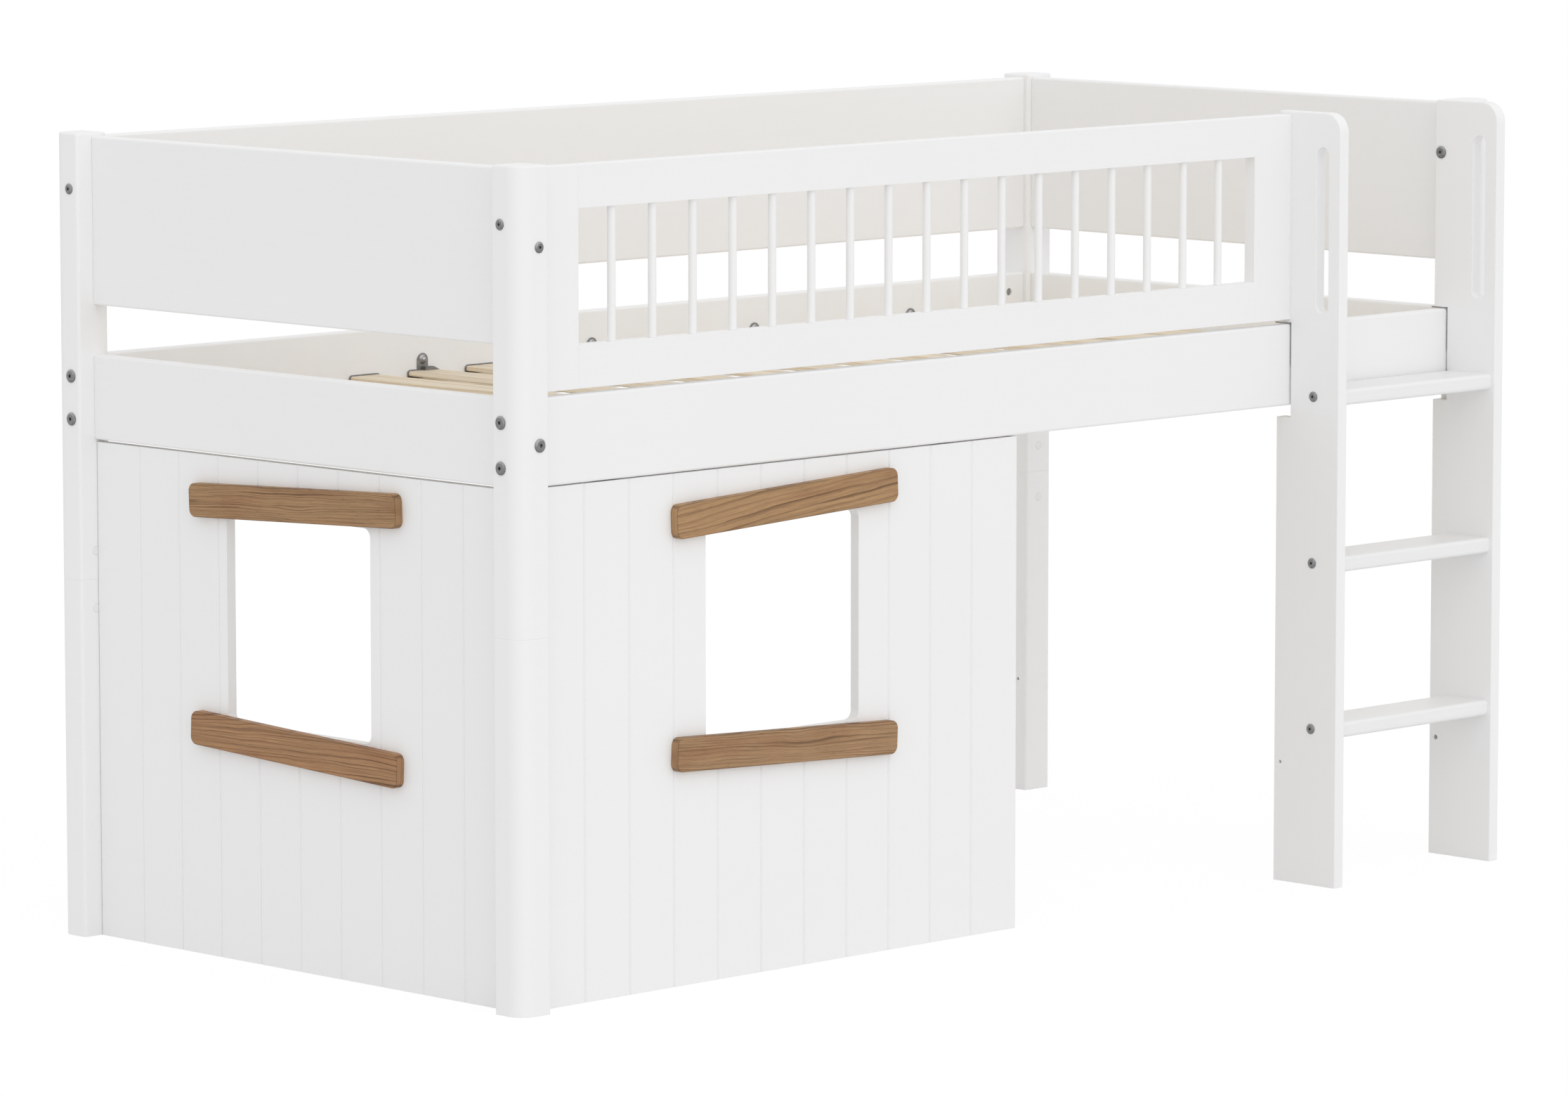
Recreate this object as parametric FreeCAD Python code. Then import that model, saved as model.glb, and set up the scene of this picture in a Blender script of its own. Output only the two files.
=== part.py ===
import FreeCAD, Part
import math
import os
from collections import namedtuple

V = FreeCAD.Vector

# Bed frame over its corner posts: X runs along it, the ladder side faces -Y, Z rises from the floor
bed_length = 2100.0
bed_width = 1012.0

# Corner posts, square with one big round on the outer corner, each an upper post on a leg
post_size = 57.0
post_round = 26.0
post_ease = 5.0
post_top_ease = 3.0
post_proud = 5.0
leg_height = 536.0
seam_ease = 0.6

# Stud inside each post seam, with a grub screw and a cover plug above and below the seam
stud_diameter = 12.0
stud_reach = 70.0
lock_spacing = 43.0
lock_diameter = 8.0
plug_diameter = 13.0
plug_depth = 4.0
plug_rise = 0.3

# Bed rails, and the upper boards with an open gap below them, set in from the posts' inner faces
board_thickness = 20.0
board_margin = 8.5
board_ease = 4.0
board_end_ease = 1.0
rail_bottom = 745.0
rail_height = 126.0
board_gap = 74.0
board_height = 250.0

# Rail bolts, the smaller frame bolts, their barrel nuts and the threaded inserts of the upper boards
rail_bolt_diameter = 8.0
rail_bolt_head = 19.4
rail_bolt_rise = 3.0
rail_bolt_socket = 5.0
rail_nut_diameter = 12.0
frame_bolt_diameter = 6.0
frame_bolt_head = 16.0
frame_bolt_rise = 2.5
frame_bolt_socket = 4.0
frame_nut_diameter = 10.0
head_bevel = 2.4
head_bevel_depth = 1.5
socket_depth = 3.5
nut_cover = 3.0
nut_setback = 35.0
insert_diameter = 10.0
insert_length = 25.0
bolt_tip = 3.0

# Places of the bolts, and of the dowels that keep each board from turning on its bolt
rail_bolt_edge = 31.0
rail_dowel_edge = 15.0
upper_x_bolt_drop = 77.5
upper_y_bolt_drop = 109.5
board_dowel_rise = 45.0
dowel_stagger = 32.0
dowel_diameter = 8.0
dowel_half = 18.0
dowel_cover = 6.0

# Front guard: two stiles, two rails and round spindles
guard_gap = 7.5
guard_ease = 0.4
guard_top_ease = 2.0
guard_stile_width = 84.0
guard_rail_height = 62.0
tenon_thickness = 8.0
tenon_shoulder = 13.0
tenon_length = 25.0
spindle_diameter = 12.0
spindle_pitch = 80.0
spindle_seat = 12.0

# Ladder: two stiles hooked over the front rail, and three steps
ladder_width = 392.0
stile_thickness = 20.0
stile_depth = 126.0
stile_overlap = 5.5
stile_bolt_setback = 12.0
stile_crown = 30.0
stile_ease = 4.0
stile_edge_ease = 2.5
notch_drop = 19.0
hand_slot_width = 25.0
hand_slot_length = 256.0
hand_slot_drop = 53.0
hand_slot_setback = 36.0
hand_slot_ease = 1.0
hook_thickness = 2.5
hook_bend = 5.0
hook_tongue = 32.5
hook_leg = 64.0
hook_screw_inset = 18.0
step_count = 3
step_setback = 7.5
step_back_gap = 2.3
step_thickness = 24.5
step_ease = 6.0
first_step_top = 257.0
step_rise = 258.5
step_dowel_offset = 28.0

# Spare holes near the foot of the legs and stiles, ready for a lower cross rail
spare_diameter = 5.5
spare_pass_diameter = 8.0
spare_depth = 15.0
spare_height = 187.0

# Thin slats on ledges, with a steel shoe at each end and a hanger shoe on every third slat
slat_width = 58.0
slat_thickness = 8.0
slat_pitch = 120.0
slat_row_shift = 1.5
slat_ease = 3.0
hanger_every = 3
shoe_thickness = 2.0
shoe_overhang = 2.0
shoe_lip = 2.0
shoe_seat = 18.0
shoe_seat_inset = 8.0
shoe_corner = 5.0
hanger_tab_width = 21.5
hanger_tab_height = 24.5
hanger_hole_drop = 10.0
hanger_hole_diameter = 6.0
hanger_boss_diameter = 15.0
hanger_boss_rise = 3.5
hanger_boss_slope = 2.5
hanger_screw_rise = 3.0
hanger_lug_depth = 7.0
hanger_lug_height = 6.0
hanger_lug_shoulder = 16.0
hanger_lug_round = 12.0
ledge_width = 22.0
ledge_height = 22.0
ledge_lift = 24.5
ledge_screw_pitch = 330.0

# Wall panels below the bed, with one window each and two tilted trim boards
panel_thickness = 16.0
end_panel_gap = 4.0
front_panel_gap = 2.0
panel_end_gap = 1.0
front_panel_width = 984.0
groove_pitch = 88.0
groove_edge = 60.0
groove_width = 5.0
groove_depth = 2.5
window_width = 313.0
window_height = 312.0
window_bottom = 350.0
window_round = 14.0
trim_length = 452.0
trim_height = 50.0
trim_thickness = 14.0
trim_round = 12.0
trim_ease = 2.5
trim_overlap = 3.5
trim_tilt = 2.5
trim_screw_inset = 45.0
plate_width = 50.0
plate_height = 50.0
plate_thickness = 2.0
plate_clear = 2.0
plate_corner = 4.0
plate_screw_inset = 8.0
plate_inset = 150.0
pin_diameter = 6.0
pin_half = 15.0
pin_rise = 120.0
pin_stagger = 30.0

# Wood screws, and the play of bolts, dowels and seats in their holes
screw_diameter = 4.0
screw_head = 8.0
screw_crown = 4.0
screw_head_rise = 2.0
screw_bite = 10.0
screw_cover = 3.0
hook_screw_length = 30.0
play = 0.2

# Faces and lines that follow from the sizes above
half_length = bed_length / 2
half_width = bed_width / 2
post_face_x = half_length - post_size
post_face_y = half_width - post_size
board_in_x = post_face_x + board_margin
board_in_y = post_face_y + board_margin
board_out_y = board_in_y + board_thickness
board_mid_x = board_in_x + board_thickness / 2
board_mid_y = board_in_y + board_thickness / 2
rail_top = rail_bottom + rail_height
rail_mid = rail_bottom + rail_height / 2
board_bottom = rail_top + board_gap
board_top = board_bottom + board_height
post_top = board_top + post_proud
upper_x_bolt = board_top - upper_x_bolt_drop
upper_y_bolt = board_top - upper_y_bolt_drop
ladder_right = post_face_x
ladder_left = ladder_right - ladder_width
stile_back = stile_overlap - board_in_y
stile_front = stile_back - stile_depth
stile_bolt_line = stile_back - stile_bolt_setback
notch_wall = -board_out_y - hook_thickness - play
step_front = stile_front + step_setback
step_back = notch_wall - step_back_gap
ledge_bottom = rail_bottom + ledge_lift
ledge_top = ledge_bottom + ledge_height
slat_bottom = ledge_top + shoe_thickness
slat_top = slat_bottom + slat_thickness
back_reach = half_width + rail_bolt_rise
origin_shift = V(0, -(stile_front + back_reach) / 2, 0)

Fixing = namedtuple("Fixing", "diameter head rise socket nut")
rail_fixing = Fixing(
    rail_bolt_diameter,
    rail_bolt_head,
    rail_bolt_rise,
    rail_bolt_socket,
    rail_nut_diameter,
)
frame_fixing = Fixing(
    frame_bolt_diameter,
    frame_bolt_head,
    frame_bolt_rise,
    frame_bolt_socket,
    frame_nut_diameter,
)

# Below this length two points count as one
tiny = 1e-3

stiles = {
    "ladder_left": ladder_left,
    "ladder_right": ladder_right - stile_thickness,
}
corners = {
    "front_left": (-1, -1),
    "front_right": (1, -1),
    "back_left": (-1, 1),
    "back_right": (1, 1),
}
holes = {}
groups = {}


def drill(node, hole):
    """Keep a hole to cut from a node once all its joints are known."""
    holes.setdefault(node, []).append(hole)


def add(group, solid):
    """Put one more solid into a group of like pieces."""
    groups.setdefault(group, []).append(solid)


def in_xy(z):
    return lambda p: V(p.x, p.y, z)


def in_xz(y):
    return lambda p: V(p.x, y, p.y)


def in_yz(x):
    return lambda p: V(x, p.x, p.y)


def outline(points, place):
    """Closed wire through (u, v, radius) corners: straight runs joined by tangent arcs."""
    flat = [V(u, v, 0) for u, v, radius in points]
    turns = []
    for i, (u, v, radius) in enumerate(points):
        corner = flat[i]
        back = (flat[i - 1] - corner).normalize()
        ahead = (flat[(i + 1) % len(flat)] - corner).normalize()
        half = back.getAngle(ahead) / 2
        run = radius / math.tan(half)
        towards = (back + ahead).normalize() if radius else V()
        apex = corner + towards * (radius / math.sin(half) - radius)
        turns.append((corner + back * run, apex, corner + ahead * run, radius))
    edges = []
    for i, (start, apex, stop, radius) in enumerate(turns):
        before = turns[i - 1][2]
        if before.distanceToPoint(start) > tiny:
            edges.append(Part.LineSegment(place(before), place(start)).toShape())
        if radius:
            edges.append(Part.Arc(place(start), place(apex), place(stop)).toShape())
    return Part.Wire(edges)


def prism(points, place, sweep):
    return Part.Face(outline(points, place)).extrude(sweep)


def rectangle(u0, u1, v0, v1, radius=0.0):
    return [(u0, v0, radius), (u1, v0, radius), (u1, v1, radius), (u0, v1, radius)]


def bar_x(x0, x1, y0, y1, z0, z1, radius=0.0):
    return prism(rectangle(y0, y1, z0, z1, radius), in_yz(x0), V(x1 - x0, 0, 0))


def bar_y(x0, x1, y0, y1, z0, z1, radius=0.0):
    return prism(rectangle(x0, x1, z0, z1, radius), in_xz(y0), V(0, y1 - y0, 0))


def bar_z(x0, x1, y0, y1, z0, z1, radius=0.0):
    return prism(rectangle(x0, x1, y0, y1, radius), in_xy(z0), V(0, 0, z1 - z0))


def rod(point, direction, diameter, length):
    return Part.makeCylinder(diameter / 2, length, point, direction)


def turned(profile, point, direction):
    """Revolve an (r, z) profile about its axis and stand it at a point along a direction."""
    face = Part.Face(Part.makePolygon([V(r, 0, z) for r, z in profile + profile[:1]]))
    solid = face.revolve(V(), V(0, 0, 1), 360)
    solid.Placement = FreeCAD.Placement(point, FreeCAD.Rotation(V(0, 0, 1), direction))
    return solid


def bolt(point, direction, fixing, diameter, length):
    """Furniture bolt: flat bevelled head on the surface, hexagon socket, plain shank."""
    half = fixing.head / 2
    profile = [
        (0, -fixing.rise),
        (half - head_bevel, -fixing.rise),
        (half, head_bevel_depth - fixing.rise),
        (half, 0),
        (diameter / 2, 0),
        (diameter / 2, length),
        (0, length),
    ]
    key = fixing.socket / 2 / math.cos(math.pi / 6)
    turns = [i * math.pi / 3 for i in range(7)]
    ring = [V(key * math.cos(turn), key * math.sin(turn), -fixing.rise) for turn in turns]
    socket = Part.Face(Part.makePolygon(ring)).extrude(V(0, 0, socket_depth))
    socket.Placement = FreeCAD.Placement(point, FreeCAD.Rotation(V(0, 0, 1), direction))
    return turned(profile, point, direction).cut(socket)


def screw(point, direction, length, rise=screw_head_rise):
    """Wood screw with a domed head on the surface."""
    profile = [
        (0, -rise),
        (screw_crown / 2, -rise),
        (screw_head / 2, 0),
        (screw_diameter / 2, 0),
        (screw_diameter / 2, length),
        (0, length),
    ]
    return turned(profile, point, direction)


def screw_hole(point, direction, length):
    return rod(point, direction, screw_diameter + 2 * play, length + play)


def barrel_joint(group, fixing, point, direction, grip, nut_side, through, into, thickness):
    """Bolt through one piece into a barrel nut that lies across the thickness of the next piece."""
    length = grip + nut_setback + fixing.nut / 2 + bolt_tip
    centre = point + direction * (grip + nut_setback)
    add(group + "_bolts", bolt(point, direction, fixing, fixing.diameter, length))
    bore = rod(point, direction, fixing.diameter + 2 * play, length + play)
    drill(through, bore)
    drill(into, bore)
    nut_half = thickness / 2 - nut_cover
    barrel = rod(centre - nut_side * nut_half, nut_side, fixing.nut, 2 * nut_half)
    add(group + "_barrel_nuts", barrel.cut(bore))
    deep = nut_half + play
    pocket = rod(centre - nut_side * deep, nut_side, fixing.nut + 2 * play, deep + thickness / 2)
    drill(into, pocket)


def insert_joint(point, direction, grip, through, into):
    """Frame bolt through one piece into a threaded insert sunk in the end of the next piece."""
    length = grip + insert_length - bolt_tip
    add("frame_bolts", bolt(point, direction, frame_fixing, frame_bolt_diameter, length))
    bore = rod(point, direction, frame_bolt_diameter + 2 * play, length + play)
    drill(through, bore)
    seat = point + direction * grip
    add("frame_inserts", rod(seat, direction, insert_diameter, insert_length).cut(bore))
    drill(into, rod(seat, direction, insert_diameter + 2 * play, insert_length + play))


def dowel(group, diameter, point, direction, into_first, into_second, first, second):
    """Dowel or pin across the face between two pieces."""
    start = point - direction * into_first
    whole = into_first + into_second
    add(group, rod(start, direction, diameter, whole))
    bore = rod(start - direction * play, direction, diameter + 2 * play, whole + 2 * play)
    drill(first, bore)
    drill(second, bore)


def frame_dowel(point, direction, first, second):
    dowel("frame_dowels", dowel_diameter, point, direction, dowel_half, dowel_half, first, second)


def eased(solid, edges, radius):
    """Round off the edges that a test picks out."""
    return solid.makeFillet(radius, [e for e in solid.Edges if edges(e.BoundBox)])


def level_at(z):
    """Test for edges that lie at one height."""
    return lambda box: box.ZLength < tiny and abs(box.ZMax - z) < tiny


def post_length(sx, sy, low, high):
    """Square post with the big round on its outer corner."""
    x_out, y_out = sx * half_length, sy * half_width
    x_in, y_in = sx * post_face_x, sy * post_face_y
    section = [
        (x_out, y_out, post_round),
        (x_in, y_out, post_ease),
        (x_in, y_in, post_ease),
        (x_out, y_in, post_ease),
    ]
    return prism(section, in_xy(low), V(0, 0, high - low))


def upper_post(sx, sy):
    """Upper post with its top edge eased all round, and the seam with the leg just broken."""
    post = post_length(sx, sy, leg_height, post_top)
    return eased(eased(post, level_at(post_top), post_top_ease), level_at(leg_height), seam_ease)


def leg(sx, sy):
    return eased(post_length(sx, sy, 0, leg_height), level_at(leg_height), seam_ease)


def leg_joint(place, sx, sy):
    """Stud across the seam, held by a grub screw in the post and one in the leg, each under a plug."""
    upper, lower = "post_" + place, "leg_" + place
    x = sx * (half_length - post_size / 2)
    y = sy * (half_width - post_size / 2)
    low = V(x, y, leg_height - stud_reach)
    add("leg_studs", rod(low, V(0, 0, 1), stud_diameter, 2 * stud_reach))
    bore = rod(low - V(0, 0, play), V(0, 0, 1), stud_diameter + 2 * play, 2 * (stud_reach + play))
    drill(upper, bore)
    drill(lower, bore)
    for node, side in ((upper, 1), (lower, -1)):
        face = V(x, sy * post_face_y, leg_height + side * lock_spacing)
        inward = V(0, sy, 0)
        reach = (post_size - stud_diameter) / 2 - play
        add("leg_grub_screws", rod(face + inward * plug_depth, inward, lock_diameter, reach - plug_depth))
        drill(node, rod(face, inward, lock_diameter + 2 * play, post_size / 2))
        cap = [(0, -plug_rise), (plug_diameter / 2 - plug_rise, -plug_rise), (plug_diameter / 2, 0)]
        stem = [(plug_diameter / 2, plug_depth - play), (0, plug_depth - play)]
        add("leg_plugs", turned(cap + stem, face, inward))
        drill(node, rod(face, inward, plug_diameter + 2 * play, plug_depth))


def spare_holes(place, sx, sy):
    """Blind hole near the foot of each leg, in the face that looks along the bed."""
    start = V(sx * post_face_x, sy * board_mid_y, spare_height)
    drill("leg_" + place, rod(start, V(sx, 0, 0), spare_diameter, spare_depth))


def corner_joints(place, sx, sy):
    """Bolts and dowels that hold the rails and boards to one post."""
    post = "post_" + place
    end = "left_end" if sx < 0 else "right_end"
    side = "front" if sy < 0 else "back"
    along, across = V(-sx, 0, 0), V(0, -sy, 0)
    out_x, out_y = sx * half_length, sy * half_width
    mid_x, mid_y = sx * board_mid_x, sy * board_mid_y

    def bolt_on(point, way, nut_side, rail):
        barrel_joint("rail", rail_fixing, point, way, post_size, nut_side, post, rail, board_thickness)

    for z in (rail_bottom + rail_bolt_edge, rail_top - rail_bolt_edge):
        bolt_on(V(out_x, mid_y, z), along, across, side + "_bed_rail")
    bolt_on(V(mid_x, out_y, rail_mid), across, along, end + "_rail")
    insert_joint(V(mid_x, out_y, upper_y_bolt), across, post_size, post, end + "_board")
    for z in (rail_bottom + rail_dowel_edge, rail_top - rail_dowel_edge):
        frame_dowel(V(mid_x, sy * post_face_y, z), across, post, end + "_rail")
    seat = V(mid_x, sy * post_face_y, board_bottom + board_dowel_rise)
    frame_dowel(seat, across, post, end + "_board")
    if place == "front_right":
        return
    upper = "guard_left_stile" if side == "front" else "back_board"
    insert_joint(V(out_x, mid_y, upper_x_bolt), along, post_size, post, upper)
    seat = V(sx * post_face_x, mid_y, board_bottom + board_dowel_rise + dowel_stagger)
    frame_dowel(seat, along, post, upper)


def long_board(sy, low, high):
    y0, y1 = sorted((sy * board_in_y, sy * board_out_y))
    board = bar_x(-post_face_x, post_face_x, y0, y1, low, high, board_ease)
    return eased(board, lambda box: box.XLength < tiny, board_end_ease)


def end_board(sx, low, high):
    x0, x1 = sorted((sx * board_in_x, sx * (board_in_x + board_thickness)))
    board = bar_y(x0, x1, -post_face_y, post_face_y, low, high, board_ease)
    return eased(board, lambda box: box.YLength < tiny, board_end_ease)


def guard():
    """Framed guard: rails tenoned into full-height stiles, spindles seated in the rails."""
    x0, x1 = -post_face_x, ladder_left
    y0, y1 = -board_out_y, -board_in_y
    low, high = rail_top + guard_gap, board_top
    left, right = x0 + guard_stile_width, x1 - guard_stile_width
    tenon_y = (y0 + y1 - tenon_thickness) / 2, (y0 + y1 + tenon_thickness) / 2
    frame = {
        "guard_left_stile": bar_z(x0, left, y0, y1, low, high, guard_ease),
        "guard_right_stile": bar_z(right, x1, y0, y1, low, high, guard_ease),
    }
    at_top = level_at(high)
    for name, stile in frame.items():
        frame[name] = eased(stile, lambda box: at_top(box) and box.YLength < tiny, guard_top_ease)
    bottom = (low, low + guard_rail_height)
    top = (high - guard_rail_height, high)
    rails = (("guard_bottom_rail", bottom, guard_ease), ("guard_top_rail", top, guard_top_ease))
    for name, (z0, z1), ease in rails:
        t0, t1 = z0 + tenon_shoulder, z1 - tenon_shoulder
        tenon = bar_x(left - tenon_length, right + tenon_length, *tenon_y, t0, t1)
        section = [(y0, z0, guard_ease), (y1, z0, guard_ease), (y1, z1, ease), (y0, z1, ease)]
        rail = prism(section, in_yz(left), V(right - left, 0, 0))
        frame[name] = rail.fuse(tenon).removeSplitter()
        mortise = bar_x(
            left - tenon_length - play,
            right + tenon_length + play,
            tenon_y[0] - play,
            tenon_y[1] + play,
            t0 - play,
            t1 + play,
        )
        drill("guard_left_stile", mortise)
        drill("guard_right_stile", mortise)
    count = int((right - left) // spindle_pitch)
    first = (left + right - (count - 1) * spindle_pitch) / 2
    foot, crown = bottom[1] - spindle_seat, top[0] + spindle_seat
    for i in range(count):
        seat = V(first + i * spindle_pitch, (y0 + y1) / 2, foot)
        add("guard_spindles", rod(seat, V(0, 0, 1), spindle_diameter, crown - foot))
        bore = rod(seat - V(0, 0, play), V(0, 0, 1), spindle_diameter + 2 * play, crown - foot + 2 * play)
        drill("guard_bottom_rail", bore)
        drill("guard_top_rail", bore)
    return frame


def ladder_stile(x0):
    """Flat stile with a round front top corner, a hand slot and a notch for the front bed rail."""
    notch_roof = rail_top + hook_thickness
    notch_floor = rail_bottom - notch_drop
    side = [
        (stile_back, 0, 0),
        (stile_front, 0, 0),
        (stile_front, post_top, stile_crown),
        (stile_back, post_top, stile_ease),
        (stile_back, notch_roof, 0),
        (notch_wall, notch_roof, 0),
        (notch_wall, notch_floor, 0),
        (stile_back, notch_floor, 0),
    ]
    stile = prism(side, in_yz(x0), V(stile_thickness, 0, 0))
    stile = eased(stile, is_front_edge, stile_edge_ease)
    front = stile_front + hand_slot_setback - hand_slot_width / 2
    top = post_top - hand_slot_drop
    slot = rectangle(front, front + hand_slot_width, top - hand_slot_length, top, hand_slot_width / 2)
    opening = prism(slot, in_yz(x0), V(stile_thickness, 0, 0))
    room = opening.BoundBox
    stile = stile.cut(opening)
    return eased(stile, lambda box: box.XLength < tiny and room.isInside(box), hand_slot_ease)


def is_front_edge(box):
    """True for the upright front edges of a stile and the arcs of its round top corner."""
    return box.XLength < tiny and box.ZLength > tiny and box.YMax < stile_front + stile_crown + tiny


def ladder_hook(stile, x0):
    """Steel angle in the stile's notch: tongue over the bed rail, leg down its front face."""
    wall = -board_out_y - hook_thickness
    tip = wall + hook_tongue
    side = [
        (tip, rail_top, 0),
        (tip, rail_top + hook_thickness, 0),
        (wall, rail_top + hook_thickness, hook_bend),
        (wall, rail_top - hook_leg, 0),
        (-board_out_y, rail_top - hook_leg, 0),
        (-board_out_y, rail_top, hook_bend - hook_thickness),
    ]
    hook = prism(side, in_yz(x0), V(stile_thickness, 0, 0))
    for z in (rail_top - hook_screw_inset, rail_top - hook_leg + hook_screw_inset):
        face = V(x0 + stile_thickness / 2, -board_out_y, z)
        add("hook_screws", countersunk(face, V(0, -1, 0), 0.0))
        sink = countersunk(face, V(0, -1, 0), play)
        hook = hook.cut(sink)
        drill(stile, sink)
    return hook


def countersunk(face, direction, grow):
    """Flush screw through the hook plate, or with grow its countersunk hole."""
    flush = play - grow
    profile = [
        (0, flush),
        (screw_head / 2 + grow, flush),
        (screw_diameter / 2 + grow, flush + screw_head / 2 - screw_diameter / 2),
        (screw_diameter / 2 + grow, hook_screw_length + grow),
        (0, hook_screw_length + grow),
    ]
    return turned(profile, face, direction)


def ladder_steps():
    """Flat steps, each with a bolt and a dowel at both ends, the lowest first."""
    steps = {}
    x0, x1 = ladder_left + stile_thickness, ladder_right - stile_thickness
    middle_y = (step_front + step_back) / 2
    for i in range(step_count):
        name = "ladder_step_%d" % (i + 1)
        top = first_step_top + i * step_rise
        steps[name] = bar_x(x0, x1, step_front, step_back, top - step_thickness, top, step_ease)
        for side, x, sx in (("ladder_left", ladder_left, 1), ("ladder_right", ladder_right, -1)):
            stile = side + "_stile"
            point = V(x, middle_y, top - step_thickness / 2)
            way, down = V(sx, 0, 0), V(0, 0, -1)
            barrel_joint("step", frame_fixing, point, way, stile_thickness, down, stile, name, step_thickness)
            seat = point + way * stile_thickness + V(0, -step_dowel_offset, 0)
            deep = stile_thickness - dowel_cover
            dowel("step_dowels", dowel_diameter, seat, way, deep, dowel_half, stile, name)
    return steps


def ladder_fixings():
    """Bolt from the left stile into the guard, and from the right stile into a cap nut in the post."""
    x_left, x_right = ladder_left + stile_thickness, ladder_right - stile_thickness
    along = V(1, 0, 0)
    point = V(x_left, -board_mid_y, upper_x_bolt)
    insert_joint(point, -along, stile_thickness, "ladder_left_stile", "guard_right_stile")
    point = V(x_right, stile_bolt_line, upper_x_bolt)
    half_post = post_size / 2
    add("ladder_post_bolt", bolt(point, along, rail_fixing, rail_bolt_diameter, stile_thickness + half_post))
    bore = rod(point, along, rail_bolt_diameter + 2 * play, stile_thickness + half_post + play)
    drill("ladder_right_stile", bore)
    outer = V(half_length, stile_bolt_line, upper_x_bolt)
    nut = bolt(outer, -along, rail_fixing, rail_nut_diameter, post_size - play)
    add("ladder_post_nut", nut.cut(bore))
    drill("post_front_right", rod(outer, -along, rail_nut_diameter + 2 * play, post_size))


def stile_spare_holes():
    """Spare hole right through the foot of each stile, the wider one in the stile against the leg."""
    for side, diameter in (("ladder_left", spare_diameter), ("ladder_right", spare_pass_diameter)):
        start = V(stiles[side], stile_bolt_line, spare_height)
        drill(side + "_stile", rod(start, V(1, 0, 0), diameter, stile_thickness))


def slat_shoe(x, sy):
    """Steel angle at a slat end: seat on the ledge, upright plate with round top corners on the rail."""
    y0, y1 = sorted((sy * board_in_y, sy * (board_in_y - shoe_thickness)))
    half = slat_width / 2 + shoe_overhang
    plate = [
        (x - half, ledge_top, 0),
        (x + half, ledge_top, 0),
        (x + half, slat_top + shoe_lip, shoe_corner),
        (x - half, slat_top + shoe_lip, shoe_corner),
    ]
    back = prism(plate, in_xz(y0), V(0, y1 - y0, 0))
    s0, s1 = sorted((sy * board_in_y, sy * (board_in_y - shoe_seat)))
    inset = half - shoe_seat_inset
    seat = bar_y(x - inset, x + inset, s0, s1, ledge_top, slat_bottom)
    return back.fuse(seat).removeSplitter()


def hanger(x, sy):
    """Shoe with an upright tab, a boss for the screw that holds it to the bed rail, and a lug."""
    inner = sy * (board_in_y - shoe_thickness)
    y0, y1 = sorted((sy * board_in_y, inner))
    low = slat_top + shoe_lip
    half = hanger_tab_width / 2
    tab = [
        (x - half, ledge_top, 0),
        (x + half, ledge_top, 0),
        (x + half, low + hanger_tab_height, half),
        (x - half, low + hanger_tab_height, half),
    ]
    upright = prism(tab, in_xz(y0), V(0, y1 - y0, 0))
    lug = [
        (x, slat_top, 0),
        (x + slat_width / 2, slat_top, 0),
        (x + hanger_lug_shoulder, slat_top + hanger_lug_height, hanger_lug_round),
        (x, slat_top + hanger_lug_height, 0),
    ]
    foot = prism(lug, in_xz(inner), V(0, -sy * hanger_lug_depth, 0))
    face = V(x, inner, low + hanger_tab_height - hanger_hole_drop)
    outward = V(0, sy, 0)
    cone = [
        (0, 0),
        (hanger_boss_diameter / 2, 0),
        (hanger_boss_diameter / 2 - hanger_boss_slope, -hanger_boss_rise),
        (0, -hanger_boss_rise),
    ]
    boss = turned(cone, face, outward)
    crown = face - outward * hanger_boss_rise
    hole = rod(crown, outward, hanger_hole_diameter, hanger_boss_rise + shoe_thickness)
    length = hanger_boss_rise + shoe_thickness + screw_bite
    add("hanger_screws", screw(crown, outward, length, hanger_screw_rise))
    drill("front_bed_rail" if sy < 0 else "back_bed_rail", screw_hole(crown, outward, length))
    return slat_shoe(x, sy).fuse([upright, foot, boss]).removeSplitter().cut(hole)


def slat_base():
    """Slats across the bed at an even pitch, on a ledge along each side rail."""
    ledges = {}
    room = 2 * (post_face_x - shoe_overhang - slat_row_shift) - slat_width
    count = int(room // slat_pitch) + 1
    reach = board_in_y - shoe_thickness
    for i in range(count):
        place = i - (count - 1) // 2
        x = (i - (count - 1) / 2) * slat_pitch + slat_row_shift
        half = slat_width / 2
        add("slats", bar_y(x - half, x + half, -reach, reach, slat_bottom, slat_top, slat_ease))
        for sy in (-1, 1):
            if place % hanger_every == 0:
                add("slat_hangers", hanger(x, sy))
            else:
                add("slat_shoes", slat_shoe(x, sy))
    screws = int(2 * board_in_x // ledge_screw_pitch)
    for side, sy in (("front", -1), ("back", 1)):
        y0, y1 = sorted((sy * board_in_y, sy * (board_in_y - ledge_width)))
        node = side + "_slat_ledge"
        ledges[node] = bar_x(-board_in_x, board_in_x, y0, y1, ledge_bottom, ledge_top)
        length = ledge_width + screw_bite
        for i in range(screws):
            x = (i - (screws - 1) / 2) * ledge_screw_pitch
            face = V(x, sy * (board_in_y - ledge_width), ledge_bottom + ledge_height / 2)
            add("ledge_screws", screw(face, V(0, sy, 0), length))
            hole = screw_hole(face, V(0, sy, 0), length)
            drill(node, hole)
            drill(side + "_bed_rail", hole)
    return ledges


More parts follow.
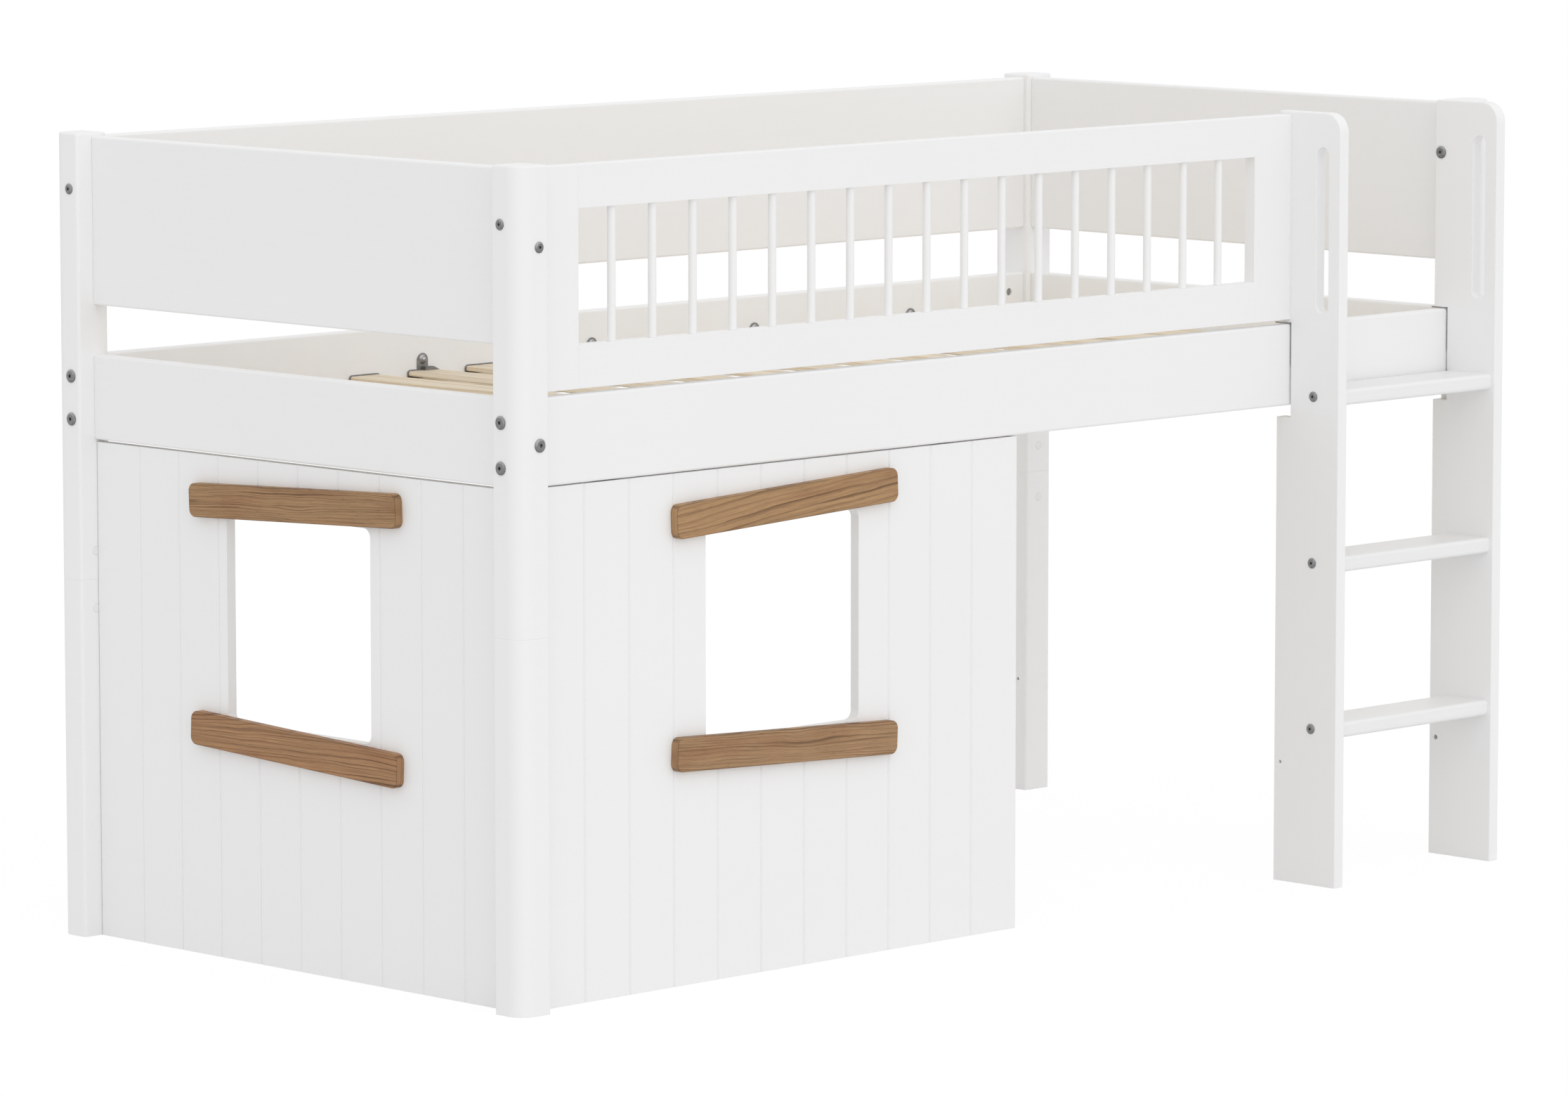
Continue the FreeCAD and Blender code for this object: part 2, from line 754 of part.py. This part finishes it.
def wall_panel(u0, u1, top, upright):
    """Boarded panel in its own plane: outline, window and the V grooves between the boards.

    The plane's u runs along the wall and v up from the floor; the outer face is at w = 0 and the
    inner face at w = -panel_thickness. upright turns (u, v, w) into the wall's place.
    """
    panel = prism(rectangle(u0, u1, 0, top), in_xy(-panel_thickness), V(0, 0, panel_thickness))
    middle = (u0 + u1) / 2
    w0, w1 = middle - window_width / 2, middle + window_width / 2
    window = rectangle(w0, w1, window_bottom, window_bottom + window_height, window_round)
    panel = panel.cut(prism(window, in_xy(-panel_thickness), V(0, 0, panel_thickness)))
    count = int((u1 - u0 - 2 * groove_edge) // groove_pitch) + 1
    half = groove_width / 2
    for i in range(count):
        u = middle + (i - (count - 1) / 2) * groove_pitch
        lips = V(u - half, 0, 0), V(u + half, 0, 0)
        vee = Part.makePolygon([lips[0], lips[1], V(u, 0, -groove_depth), lips[0]])
        panel = panel.cut(Part.Face(vee).extrude(V(0, top, 0)))
    panel.Placement = upright
    return panel


def trim_board(middle, height, tilt, upright, panel, wall):
    """Rounded trim board screwed on from behind the panel, tilted in the wall's plane."""
    half = trim_length / 2
    board = prism(
        rectangle(-half, half, -trim_height / 2, trim_height / 2, trim_round),
        in_xy(0),
        V(0, 0, trim_thickness),
    )
    board = eased(board, level_at(trim_thickness), trim_ease)
    turn = FreeCAD.Placement(V(middle, height, 0), FreeCAD.Rotation(V(0, 0, 1), tilt))
    board.Placement = upright.multiply(turn)
    out = upright.Rotation.multVec(V(0, 0, 1))
    length = panel_thickness + trim_thickness - screw_cover
    for side in (-1, 1):
        local = V(side * (half - trim_screw_inset), 0, -panel_thickness)
        behind = upright.multVec(turn.multVec(local))
        add("trim_screws", screw(behind, out, length))
        hole = screw_hole(behind, out, length)
        drill(panel, hole)
        drill(wall, hole)
    return board


def fixing_plates(places, upright, panel, rail):
    """Flat steel plates on the inner faces, from the bed rail down to the panel."""
    high = ledge_bottom - plate_clear
    low = high - plate_height
    back = -panel_thickness - plate_thickness
    out = upright.Rotation.multVec(V(0, 0, 1))
    length = plate_thickness + panel_thickness - groove_depth - screw_cover
    for u in places:
        shape = rectangle(u - plate_width / 2, u + plate_width / 2, low, high, plate_corner)
        plate = prism(shape, in_xy(back), V(0, 0, plate_thickness))
        plate.Placement = upright
        for side in (-1, 1):
            for node, v in ((rail, (rail_bottom + high) / 2), (panel, low + plate_screw_inset)):
                face = upright.multVec(V(u + side * (plate_width / 2 - plate_screw_inset), v, back))
                add("plate_screws", screw(face, out, length))
                hole = screw_hole(face, out, length)
                plate = plate.cut(hole)
                drill(node, hole)
        add("panel_plates", plate)


def panel_pins():
    """Pins from the left legs into the upright edges of both panels."""
    x = -board_in_x - panel_thickness / 2
    y = -board_in_y - panel_thickness / 2
    places = [
        (V(x, -post_face_y, 0), V(0, 1, 0), "front_left", "end", pin_rise),
        (V(x, post_face_y, 0), V(0, -1, 0), "back_left", "end", pin_rise),
        (V(-post_face_x, y, 0), V(1, 0, 0), "front_left", "front", pin_rise + pin_stagger),
    ]
    for foot, way, place, wall, rise in places:
        for z in (rise, leg_height - rise):
            first, second = "leg_" + place, wall + "_wall_panel"
            seat = foot + V(0, 0, z)
            dowel("panel_pins", pin_diameter, seat, way, pin_half, pin_half, first, second)


def walls():
    """End wall between the left posts and front wall from the front left post to a free edge."""
    pieces = {}
    outer_x = board_in_x + panel_thickness
    outer_y = board_in_y + panel_thickness
    up = V(0, 0, 1)
    facing_left = FreeCAD.Rotation(V(0, -1, 0), up, V(-1, 0, 0), "XYZ")
    facing_front = FreeCAD.Rotation(V(1, 0, 0), up, V(0, -1, 0), "XYZ")
    end_wall = FreeCAD.Placement(V(-outer_x, 0, 0), facing_left)
    front_wall = FreeCAD.Placement(V(0, -outer_y, 0), facing_front)
    end_reach = post_face_y - panel_end_gap
    front_start = panel_end_gap - post_face_x
    front_stop = front_start + front_panel_width
    spans = (
        ("end", end_wall, -end_reach, end_reach, end_panel_gap),
        ("front", front_wall, front_start, front_stop, front_panel_gap),
    )
    for name, upright, u0, u1, gap in spans:
        node = name + "_wall_panel"
        pieces[node] = wall_panel(u0, u1, rail_bottom - gap, upright)
        middle = (u0 + u1) / 2
        offset = trim_height / 2 - trim_overlap
        lintel, sill = name + "_window_lintel", name + "_window_sill"
        over, under = window_bottom + window_height + offset, window_bottom - offset
        pieces[lintel] = trim_board(middle, over, trim_tilt, upright, lintel, node)
        pieces[sill] = trim_board(middle, under, -trim_tilt, upright, sill, node)
    plate_places = front_start + plate_inset, front_stop - plate_inset
    fixing_plates(plate_places, front_wall, "front_wall_panel", "front_bed_rail")
    panel_pins()
    return pieces


def build():
    """Make every piece, then cut the holes that the joints asked for."""
    pieces = {}
    for place, (sx, sy) in corners.items():
        pieces["post_" + place] = upper_post(sx, sy)
        pieces["leg_" + place] = leg(sx, sy)
        leg_joint(place, sx, sy)
        spare_holes(place, sx, sy)
        corner_joints(place, sx, sy)
    pieces["front_bed_rail"] = long_board(-1, rail_bottom, rail_top)
    pieces["back_bed_rail"] = long_board(1, rail_bottom, rail_top)
    pieces["back_board"] = long_board(1, board_bottom, board_top)
    for end, sx in (("left_end", -1), ("right_end", 1)):
        pieces[end + "_rail"] = end_board(sx, rail_bottom, rail_top)
        pieces[end + "_board"] = end_board(sx, board_bottom, board_top)
    pieces.update(guard())
    for side, x in stiles.items():
        pieces[side + "_stile"] = ladder_stile(x)
        pieces[side + "_hook"] = ladder_hook(side + "_stile", x)
    pieces.update(ladder_steps())
    ladder_fixings()
    stile_spare_holes()
    pieces.update(slat_base())
    pieces.update(walls())
    for node, cutters in holes.items():
        pieces[node] = pieces[node].cut(cutters)
    for group, solids in groups.items():
        pieces[group] = Part.makeCompound(solids)
    return pieces


os.makedirs("parts", exist_ok=True)
for node, shape in build().items():
    shape.translate(origin_shift)
    shape.exportStep("parts/%s.step" % node)
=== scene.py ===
import math

import bpy
import numpy as np
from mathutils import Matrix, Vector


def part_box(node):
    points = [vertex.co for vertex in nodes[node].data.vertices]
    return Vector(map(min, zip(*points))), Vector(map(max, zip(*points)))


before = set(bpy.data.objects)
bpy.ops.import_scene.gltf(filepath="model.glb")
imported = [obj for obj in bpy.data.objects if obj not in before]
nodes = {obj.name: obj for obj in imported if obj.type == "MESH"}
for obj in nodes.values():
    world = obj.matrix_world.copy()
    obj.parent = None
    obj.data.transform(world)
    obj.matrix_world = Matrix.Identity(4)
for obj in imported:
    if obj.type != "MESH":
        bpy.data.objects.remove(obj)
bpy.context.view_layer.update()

# Corner posts: square lengths of solid wood with one big round, each an upper post on a leg.
# They are filled, sanded and sprayed with satin white lacquer, under which only a ghost of
# the upright grain is left.


class Wire:
    """An output socket in a node tree. Arithmetic on wires adds Math nodes to the tree."""

    def __init__(self, tree, socket=None):
        self.tree = tree
        self.socket = socket

    def node(self, kind, settings, sockets, output=0):
        """Add a node, set its settings, then the values or wires of its sockets; gives one output."""
        node = self.tree.nodes.new(kind)
        for name, value in settings.items():
            setattr(node, name, value)
        for name, value in sockets.items():
            if isinstance(value, Wire):
                self.tree.links.new(value.socket, node.inputs[name])
            else:
                node.inputs[name].default_value = value
        return Wire(self.tree, node.outputs[output] if node.outputs else None)

    def math(self, operation, *values):
        """Math node on numbers or wires."""
        return self.node("ShaderNodeMath", {"operation": operation}, dict(enumerate(values)))

    def vector(self, operation, *values, output=0):
        """Vector Math node on triples or wires."""
        return self.node("ShaderNodeVectorMath", {"operation": operation}, dict(enumerate(values)), output)

    def __add__(self, other):
        return self.math("ADD", self, other)

    __radd__ = __add__

    def __sub__(self, other):
        return self.math("SUBTRACT", self, other)

    def __rsub__(self, other):
        return self.math("SUBTRACT", other, self)

    def __mul__(self, other):
        return self.math("MULTIPLY", self, other)

    __rmul__ = __mul__

    def __truediv__(self, other):
        return self.math("DIVIDE", self, other)


def blank(name):
    """New empty material, and the wire of its Object coordinates."""
    material = bpy.data.materials.new(name)
    material.use_nodes = True
    material.node_tree.nodes.clear()
    return material, Wire(material.node_tree).node("ShaderNodeTexCoord", {}, {}, "Object")


def surface(here, sockets):
    """Principled surface with these sockets on the material's output."""
    shader = here.node("ShaderNodeBsdfPrincipled", {}, sockets)
    here.node("ShaderNodeOutputMaterial", {}, {"Surface": shader})


def cloud(place, waves, detail=2.0):
    """Soft noise about zero, with so many waves to the metre: one number, or three for x, y and z."""
    spot = place.vector("MULTIPLY", place, waves if isinstance(waves, tuple) else (waves,) * 3)
    return spot.node("ShaderNodeTexNoise", {}, {"Vector": spot, "Scale": 1.0, "Detail": detail}) - 0.5


def step(value, low, high):
    """Smooth rise from 0 at low to 1 at high."""
    ends = {"Value": value, "From Min": low, "From Max": high}
    return value.node("ShaderNodeMapRange", {"interpolation_type": "SMOOTHSTEP"}, ends)


def tinted(colour, tone):
    """A colour, plain or on a wire, made lighter or darker by a factor."""
    return tone.node("ShaderNodeVectorMath", {"operation": "SCALE"}, {0: colour, "Scale": tone})


def relief(here, height, depth):
    """Bump of a height map that stands for so many metres."""
    return here.node("ShaderNodeBump", {}, {"Height": height, "Strength": 0.6, "Distance": depth})


def parts(vector, axes="XYZ"):
    """The wires of a vector's parts along these axes."""
    return [vector.node("ShaderNodeSeparateXYZ", {}, {0: vector}, axis) for axis in axes]


def facing(here):
    """The way the surface faces, as a vector of length one."""
    return here.node("ShaderNodeNewGeometry", {}, {}, "Normal")


def eased(here):
    """1 on an eased edge, where the surface leans away from all three axes, and 0 on the flats."""
    x, y, z = parts(here.vector("ABSOLUTE", facing(here)))
    flat = here.math("MAXIMUM", x, here.math("MAXIMUM", y, z))
    return step(1 - flat, 0.02, 0.25)


white = (0.922, 0.922, 0.922)
satin = 0.42
peel_depth = 0.00004


def lacquer(name, along, ghost, worn, edge_wear_and_painted_light=0.004, base=1.0):
    """Satin white lacquer on wood that runs along one axis.

    The tone is the base plus a slow cloud and a ghost of the fibres, which are noise drawn out along
    the grain; eased edges, as far as they are worn, are rubbed smoother and change their tone by a
    trace, lighter as wear and a painted highlight, or darker as painted shade where the eased
    surfaces are the walls of grooves; the relief is a fine peel.
    """
    material, here = blank(name)
    fibre = cloud(here, tuple(3.0 if axis == along else 160.0 for axis in "XYZ"), 4.0)
    patch = cloud(here, 2.5)
    peel = cloud(here, 420.0)
    edge = eased(here) * worn
    # The eased-edge term is wear with a trace of painted highlight, or painted shade where it is set below
    # zero.
    tone = base + patch * 0.02 + fibre * ghost + edge * edge_wear_and_painted_light
    surface(here, {
        "Base Color": tinted(white, tone),
        "Roughness": satin + patch * 0.12 + fibre * 0.1 - edge * 0.06,
        "Normal": relief(here, peel + fibre * 2, peel_depth),
        "Specular IOR Level": 0.4,
    })
    return material


def dress(material, *names):
    """Give CAD nodes their finished material."""
    for name in names:
        nodes[name].material_slots[0].material = material


board_ghost = 0.012
corners = ("front_left", "front_right", "back_left", "back_right")
upright_lacquer = lacquer("upright_lacquer", "Z", board_ghost, worn=0.0)
dress(upright_lacquer, *("post_" + corner for corner in corners))
dress(upright_lacquer, *("leg_" + corner for corner in corners))

# Studs across the post seams with the grub screws that lock them: zinc-plated steel, all
# hidden in the wood. A white plastic plug is pressed in over each grub screw.

scratch_depth = 0.00003


def plating(name, tone, rough, blotch=260.0):
    """Zinc-plated steel: a dull grey metal with mottled tone and gloss and fine drawn scratches.

    The mottle has so many blotches to the metre. Faces that look up are painted lighter and
    those that look down darker, as painted light from above, and eased bevels are painted
    lighter, as a painted highlight.
    """
    material, here = blank(name)
    mottle = cloud(here, blotch, 4.0)
    scratch = cloud(here, (900.0, 60.0, 900.0), 3.0)
    edge = eased(here)
    upward, = parts(facing(here), "Z")
    # Painted light: lighter on upward faces and on eased bevels, darker on downward faces, on top of the
    # mottle.
    mottle_and_painted_light = 1 + mottle * 0.9 + edge * 0.30 + upward * 0.85
    surface(here, {
        "Base Color": tinted((tone, tone, tone * 1.01), mottle_and_painted_light),
        "Metallic": 0.75,
        "Roughness": rough + mottle * 0.25 + scratch * 0.15,
        "Normal": relief(here, scratch + mottle, scratch_depth),
    })
    return material


zinc = plating("zinc_plating", tone=0.33, rough=0.34)
dress(zinc, "leg_studs", "leg_grub_screws")

plug_white = (0.875, 0.875, 0.872)
mould_depth = 0.00003


def moulding(name):
    """White moulded plastic, a little glossier than the lacquer, with a faint mould grain."""
    material, here = blank(name)
    grain = cloud(here, 1500.0)
    patch = cloud(here, 120.0)
    surface(here, {
        "Base Color": tinted(plug_white, 1 + patch * 0.03),
        "Roughness": 0.33 + patch * 0.1 + grain * 0.08,
        "Normal": relief(here, grain, mould_depth),
    })
    return material


dress(moulding("plug_plastic"), "leg_plugs")

# Bed rails and the upper boards of the back and the two ends: boards with eased edges between
# the posts, lacquered as the posts are, with the grain along each board.

long_lacquer = lacquer("long_lacquer", "X", board_ghost, worn=1.0)
cross_lacquer = lacquer("cross_lacquer", "Y", board_ghost, worn=1.0)
dress(long_lacquer, "front_bed_rail", "back_bed_rail", "back_board")
dress(cross_lacquer, "left_end_rail", "right_end_rail", "left_end_board", "right_end_board")

# Bolts from the posts into barrel nuts across the rails and threaded inserts in the boards, with
# flat bevelled heads on the posts: zinc-plated steel. Birch dowels keep the boards from turning.

bolt_zinc = plating("bolt_plating", tone=0.22, rough=0.30)
dress(bolt_zinc, "rail_bolts", "frame_bolts")
dress(zinc, "rail_barrel_nuts", "frame_inserts")

birch_pale = (0.62, 0.46, 0.29)
birch_depth = 0.0001


def turned_birch(name):
    """Plain pale birch with a fine fibre."""
    material, here = blank(name)
    fibre = cloud(here, 300.0, 4.0)
    surface(here, {
        "Base Color": tinted(birch_pale, 1 + fibre * 0.3),
        "Roughness": 0.7 + fibre * 0.2,
        "Normal": relief(here, fibre, birch_depth),
    })
    return material


birch = turned_birch("dowel_birch")
dress(birch, "frame_dowels")

# Front guard: two rails tenoned between two stiles, with round turned spindles seated in the
# rails, all lacquered together once glued.

dress(upright_lacquer, "guard_spindles")
guard_upright = lacquer("guard_upright_lacquer", "Z", board_ghost, worn=1.0)
dress(guard_upright, "guard_left_stile", "guard_right_stile")
dress(long_lacquer, "guard_bottom_rail", "guard_top_rail")

# Ladder: two flat stiles with a hand slot each, three steps bolted and dowelled between them.
# The steps show more of the grain through the lacquer, as soft grey streaks along them.

dress(guard_upright, "ladder_left_stile", "ladder_right_stile")
# The steps' lacquer is a darker copy of the white, as painted shade for the shade the bed casts on them.
step_lacquer_painted_shade = lacquer("step_lacquer_painted_shade", "X", ghost=0.05, worn=1.0, base=0.962)
dress(step_lacquer_painted_shade, "ladder_step_1", "ladder_step_2", "ladder_step_3")
dress(bolt_zinc, "step_bolts", "ladder_post_bolt", "ladder_post_nut")
dress(zinc, "step_barrel_nuts")
dress(birch, "step_dowels")

# Hooks in the ladder's notches: bent zinc-plated strip over the front bed rail, held by two
# countersunk screws each.

dress(zinc, "ladder_left_hook", "ladder_right_hook", "hook_screws")

# Slat base: seventeen planed pine slats across the bed on two pine ledges, untreated, each
# slat with its own soft growth rings.

slat_pitch = 0.120
ledge_pitch = 1.0
pine_early = (0.83, 0.725, 0.565)
pine_late = (0.61, 0.465, 0.315)
pine_year = 0.0085
pine_depth = 0.00012


def joined(x, y, z):
    """One vector from its three parts, the first of them on a wire."""
    return x.node("ShaderNodeCombineXYZ", {}, {"X": x, "Y": y, "Z": z})


def chance(number):
    """A random value from 0 to 1, the same wherever the number is the same."""
    return number.node("ShaderNodeTexWhiteNoise", {"noise_dimensions": "1D"}, {"W": number}, "Value")


def stained(share, plain, stain):
    """A colour that goes from plain at a share of 0 to stain at 1, each a triple or on a wire."""
    plain, stain = (ink if isinstance(ink, Wire) else ink + (1,) for ink in (plain, stain))
    return share.node("ShaderNodeMix", {"data_type": "RGBA"}, {0: share, 6: plain, 7: stain}, 2)


def rings(across, deep, heart, year, wander):
    """Phase of the growth rings: distance from the heart of the tree in steps of one year.

    The heart runs along the board at (across, deep) = heart, and wander is added to the distance.
    """
    side = across - heart[0]
    down = deep - heart[1]
    return (side.math("SQRT", side * side + down * down) + wander) / year


def planed_pine(name, lengthwise, crosswise, pitch):
    """Planed pine: soft bands of late wood, and a shift of heart and tone from slat to slat.

    The narrow upright sides are painted a little paler than the planed faces, as painted light
    against the shade that falls between the slats.
    """
    material, here = blank(name)
    along, across, deep = parts(here, (lengthwise, crosswise, "Z"))
    slat = here.math("ROUND", across / pitch)
    luck = chance(slat)
    shifted = joined(along, across + slat * 3.7, deep)
    wander = cloud(shifted, (1.6, 14.0, 14.0)) * 0.016 + cloud(shifted, (9.0, 60.0, 60.0)) * 0.002
    heart = (slat * pitch + (luck - 0.5) * 0.12, 0.70 - luck * 0.06)
    turn = here.math("FRACT", rings(across, deep, heart, pine_year, wander))
    late = step(turn, 0.35, 0.9) * (1 - step(turn, 0.92, 1.0))
    fibre = cloud(shifted, (18.0, 700.0, 700.0), 3.0)
    patch = cloud(shifted, (2.0, 20.0, 20.0))
    upward, = parts(facing(here), "Z")
    # Painted light: the upright sides are made paler to lift the shade between the slats.
    painted_light_on_sides = 1 - step(here.math("ABSOLUTE", upward), 0.1, 0.7)
    tone = 1 + fibre * 0.16 + (luck - 0.5) * 0.1 + patch * 0.1 + painted_light_on_sides * 0.12
    surface(here, {
        "Base Color": tinted(stained(late * 0.62, pine_early, pine_late), tone),
        "Roughness": 0.58 + fibre * 0.2 - late * 0.08,
        "Normal": relief(here, fibre - late * 0.3, pine_depth),
        "Specular IOR Level": 0.3,
    })
    return material


dress(planed_pine("slat_pine", "Y", "X", slat_pitch), "slats")
dress(planed_pine("ledge_pine", "X", "Y", ledge_pitch), "front_slat_ledge", "back_slat_ledge")

# Shoes at the slat ends, the hanger shoes screwed to the side rails and the plates behind the
# front wall: pressed zinc-plated sheet, duller than the bolts.

sheet_zinc = plating("sheet_plating", tone=0.26, rough=0.36, blotch=150.0)
dress(sheet_zinc, "slat_shoes", "slat_hangers", "panel_plates")
dress(zinc, "hanger_screws", "ledge_screws", "plate_screws", "trim_screws")

# Wall panels below the bed: one boarded end wall and one front wall, moulded board with V
# grooves and a round-cornered window, sprayed with the same satin white. Steel pins in the legs
# hold their upright edges.

# Painted shade: the V grooves and the round window corners are darkened through the eased-edge tone.
wall_lacquer = lacquer("wall_lacquer", "Z", ghost=0.004, worn=1.0, edge_wear_and_painted_light=-0.024)
dress(wall_lacquer, "end_wall_panel", "front_wall_panel")
dress(zinc, "panel_pins")

# Window trims: four rounded boards of solid oak, oiled, screwed on from behind the walls and
# tilted a little. Each is cut another way from the tree, so each shows its own figure.

oak_early = (0.435, 0.265, 0.135)
oak_red = (0.38, 0.205, 0.100)
oak_late = (0.145, 0.074, 0.034)
oak_end_year = 0.0046
oak_depth = 0.00015
trim_tilt = math.radians(2.5)
end_yaw = -math.pi / 2
front_yaw = 0.0


def oiled_oak(name, node, yaw, tilt, seed, year, lean, eye, bold, fine, cast):
    """Oiled oak in the board's own frame: x along it, y up across it, z out of the wall.

    The ring phase is the distance across the board, leaning along it and wandering with a slow
    noise, in steps of one year; an eye (x, y, half length, half height, rings) lifts the phase as
    a bell about one spot, and a noise of the phase itself makes the years uneven. Each ring darkens
    slowly and ends sharply, by its own luck; fine streaks, fibres and pores follow the phase; end
    faces show the rings across the thickness; eased edges are darker; cast is the board's own tint.
    """
    material, here = blank(name)
    low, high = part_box(node)
    place = {"Location": tuple((low + high) / 2), "Rotation": (math.pi / 2, -tilt, yaw)}
    local = here.node("ShaderNodeMapping", {"vector_type": "TEXTURE"}, {"Vector": here, **place})
    along, across, deep = parts(local)
    lengthwise = (math.cos(yaw), math.sin(yaw), 0.0)
    endwise = here.vector("DOT_PRODUCT", facing(here), lengthwise, output=1)
    end = step(here.math("ABSOLUTE", endwise), 0.75, 0.9)
    shifted = local.vector("ADD", local, (seed, seed * 0.37, seed * 0.71))
    wander = cloud(shifted, (5.0, 12.0, 12.0)) * 0.016 + cloud(shifted, (16.0, 60.0, 60.0)) * 0.0022
    eye_x, eye_y, eye_length, eye_height, eye_rings = eye
    beside, above = (along - eye_x) / eye_length, (across - eye_y) / eye_height
    bell = here.math("EXPONENT", -1 * (beside * beside + above * above))
    face_phase = (across - along * lean + wander) / year + bell * eye_rings
    phase = face_phase * (1 - end) + (deep / oak_end_year + wander * 60) * end
    uneven = phase + cloud(joined(phase * 0.45 + seed, along * 2.0, end), 1.0) * 3.2
    ring = here.math("FRACT", uneven)
    luck = chance(here.math("FLOOR", uneven) + seed)
    late = step(ring, 0.45, 0.92) * (1 - step(ring, 0.94, 1.0)) * (0.30 + luck * 0.70)
    grain = joined(along, phase * year + seed, seed)
    streak = step(cloud(grain, (3.0, 420.0, 1.0)), -0.02, 0.20)
    broken = step(cloud(grain, (8.0, 90.0, 1.0), 1.0), -0.20, 0.14)
    fibre = cloud(grain, (16.0, 900.0, 1.0), 3.0)
    pore = step(cloud(grain, (60.0, 1000.0, 1.0), 1.0), 0.06, 0.22)
    blush = step(cloud(shifted, (5.0, 26.0, 26.0)), -0.06, 0.22)
    patch = cloud(shifted, (7.0, 34.0, 34.0))
    tone = 1 + fibre * 0.62 + patch * 0.3 - pore * 0.18 - eased(here) * 0.30
    lines = late * bold * (0.55 + broken * 0.45) + streak * fine
    dark = here.math("MINIMUM", lines * (1 - end * 0.55), 1.0)
    colour = stained(dark, stained(blush, oak_early, oak_red), oak_late)
    surface(here, {
        "Base Color": tinted(here.vector("MULTIPLY", colour, cast), tone),
        "Roughness": 0.50 + fibre * 0.2 + pore * 0.15,
        "Normal": relief(here, fibre - pore - late, oak_depth),
        "Specular IOR Level": 0.25,
    })
    dress(material, node)


oiled_oak("end_lintel_oak", "end_window_lintel", end_yaw, trim_tilt,
          seed=1.3, year=0.0043, lean=0.01, eye=(-0.02, -0.008, 0.12, 0.010, 0.9),
          bold=0.85, fine=0.34, cast=(0.93, 0.91, 0.90))
oiled_oak("end_sill_oak", "end_window_sill", end_yaw, -trim_tilt,
          seed=4.1, year=0.0064, lean=0.05, eye=(-0.24, 0.020, 0.15, 0.030, 2.5),
          bold=0.95, fine=0.30, cast=(0.95, 0.87, 0.85))
oiled_oak("front_lintel_oak", "front_window_lintel", front_yaw, trim_tilt,
          seed=7.7, year=0.0095, lean=0.075, eye=(0.18, -0.02, 0.10, 0.020, 0.3),
          bold=0.90, fine=0.26, cast=(1.00, 0.99, 0.97))
oiled_oak("front_sill_oak", "front_window_sill", front_yaw, -trim_tilt,
          seed=9.2, year=0.0056, lean=-0.01, eye=(0.03, 0.004, 0.07, 0.016, 1.5),
          bold=0.75, fine=0.30, cast=(0.95, 0.95, 0.98))

# Studio: a pale floor that is white to the camera and keeps a faint shadow, an even white sky
# and one wide soft sun from the front left.

plain_white = (1, 1, 1, 1)
floor_reach = 60.0
floor_cells = 12
floor_drop = 0.0002
floor_pale = (0.84, 0.84, 0.84, 1)
floor_glow = 1.03
floor_shadow = 0.1
sky_strength = 0.815
backdrop_strength = 1.0
sun_strength = 0.58
sun_spread = math.radians(75)
sun_turn = (math.radians(58), 0.0, math.radians(-20))


def seen(here):
    """1 for the rays that show the background: from the camera, and through gloss or glass."""
    rays = ("Is Camera Ray", "Is Glossy Ray", "Is Transmission Ray")
    straight, glossy, through = (here.node("ShaderNodeLightPath", {}, {}, ray) for ray in rays)
    return here.math("MINIMUM", straight + glossy + through, 1.0)


def floor_grid(reach, cells, drop):
    """Flat square on an even grid about the origin, reaching so far each way and a drop below the feet."""
    line = np.linspace(-reach, reach, cells + 1)
    x, y = np.meshgrid(line, line, indexing="ij")
    points = np.stack([x, y, np.full_like(x, -drop)], -1).reshape(-1, 3)
    at = np.arange((cells + 1) ** 2).reshape(cells + 1, cells + 1)
    faces = np.stack([at[:-1, :-1], at[1:, :-1], at[1:, 1:], at[:-1, 1:]], -1).reshape(-1, 4)
    mesh = bpy.data.meshes.new("floor")
    mesh.from_pydata(points.tolist(), [], faces.tolist())
    return mesh


floor = bpy.data.objects.new("floor", floor_grid(floor_reach, floor_cells, floor_drop))
bpy.context.scene.collection.objects.link(floor)
floor_material, here = blank("studio_floor")
matt = here.node("ShaderNodeBsdfDiffuse", {}, {"Color": floor_pale})
glow = here.node("ShaderNodeEmission", {}, {"Color": plain_white, "Strength": floor_glow})
mixed = here.node("ShaderNodeMixShader", {}, {0: seen(here) * (1 - floor_shadow), 1: matt, 2: glow})
here.node("ShaderNodeOutputMaterial", {}, {"Surface": mixed})
floor.data.materials.append(floor_material)

world = bpy.data.worlds.new("studio_sky")
world.use_nodes = True
world.node_tree.nodes.clear()
bpy.context.scene.world = world
way = Wire(world.node_tree)
sky = way.node("ShaderNodeBackground", {}, {"Color": plain_white, "Strength": sky_strength})
backdrop = way.node("ShaderNodeBackground", {}, {"Color": plain_white, "Strength": backdrop_strength})
whole = way.node("ShaderNodeMixShader", {}, {0: seen(way), 1: sky, 2: backdrop})
way.node("ShaderNodeOutputWorld", {}, {"Surface": whole})

sun_data = bpy.data.lights.new("soft_sun", "SUN")
sun_data.energy = sun_strength
sun_data.angle = sun_spread
sun = bpy.data.objects.new("soft_sun", sun_data)
sun.rotation_euler = sun_turn
bpy.context.scene.collection.objects.link(sun)

# Camera: a long lens from the front left corner, a little above the guard, where the
# photograph was taken from.

lens_pixels = 11034.2
image_width = 2232.0
camera_place = (-8.36614, -8.33492, 1.97547)
camera_dip = 0.121268
camera_roll = 0.000134
camera_swing = -0.783667
camera_data = bpy.data.cameras.new("camera")
camera_data.sensor_fit = "HORIZONTAL"
camera_data.sensor_width = 36.0
camera_data.lens = camera_data.sensor_width * lens_pixels / image_width
camera_data.clip_end = 200.0
camera = bpy.data.objects.new("camera", camera_data)
camera.location = camera_place
camera.rotation_euler = (math.pi / 2 - camera_dip, camera_roll, camera_swing)
bpy.context.scene.collection.objects.link(camera)
bpy.context.scene.camera = camera
bpy.context.scene.view_settings.view_transform = "Standard"
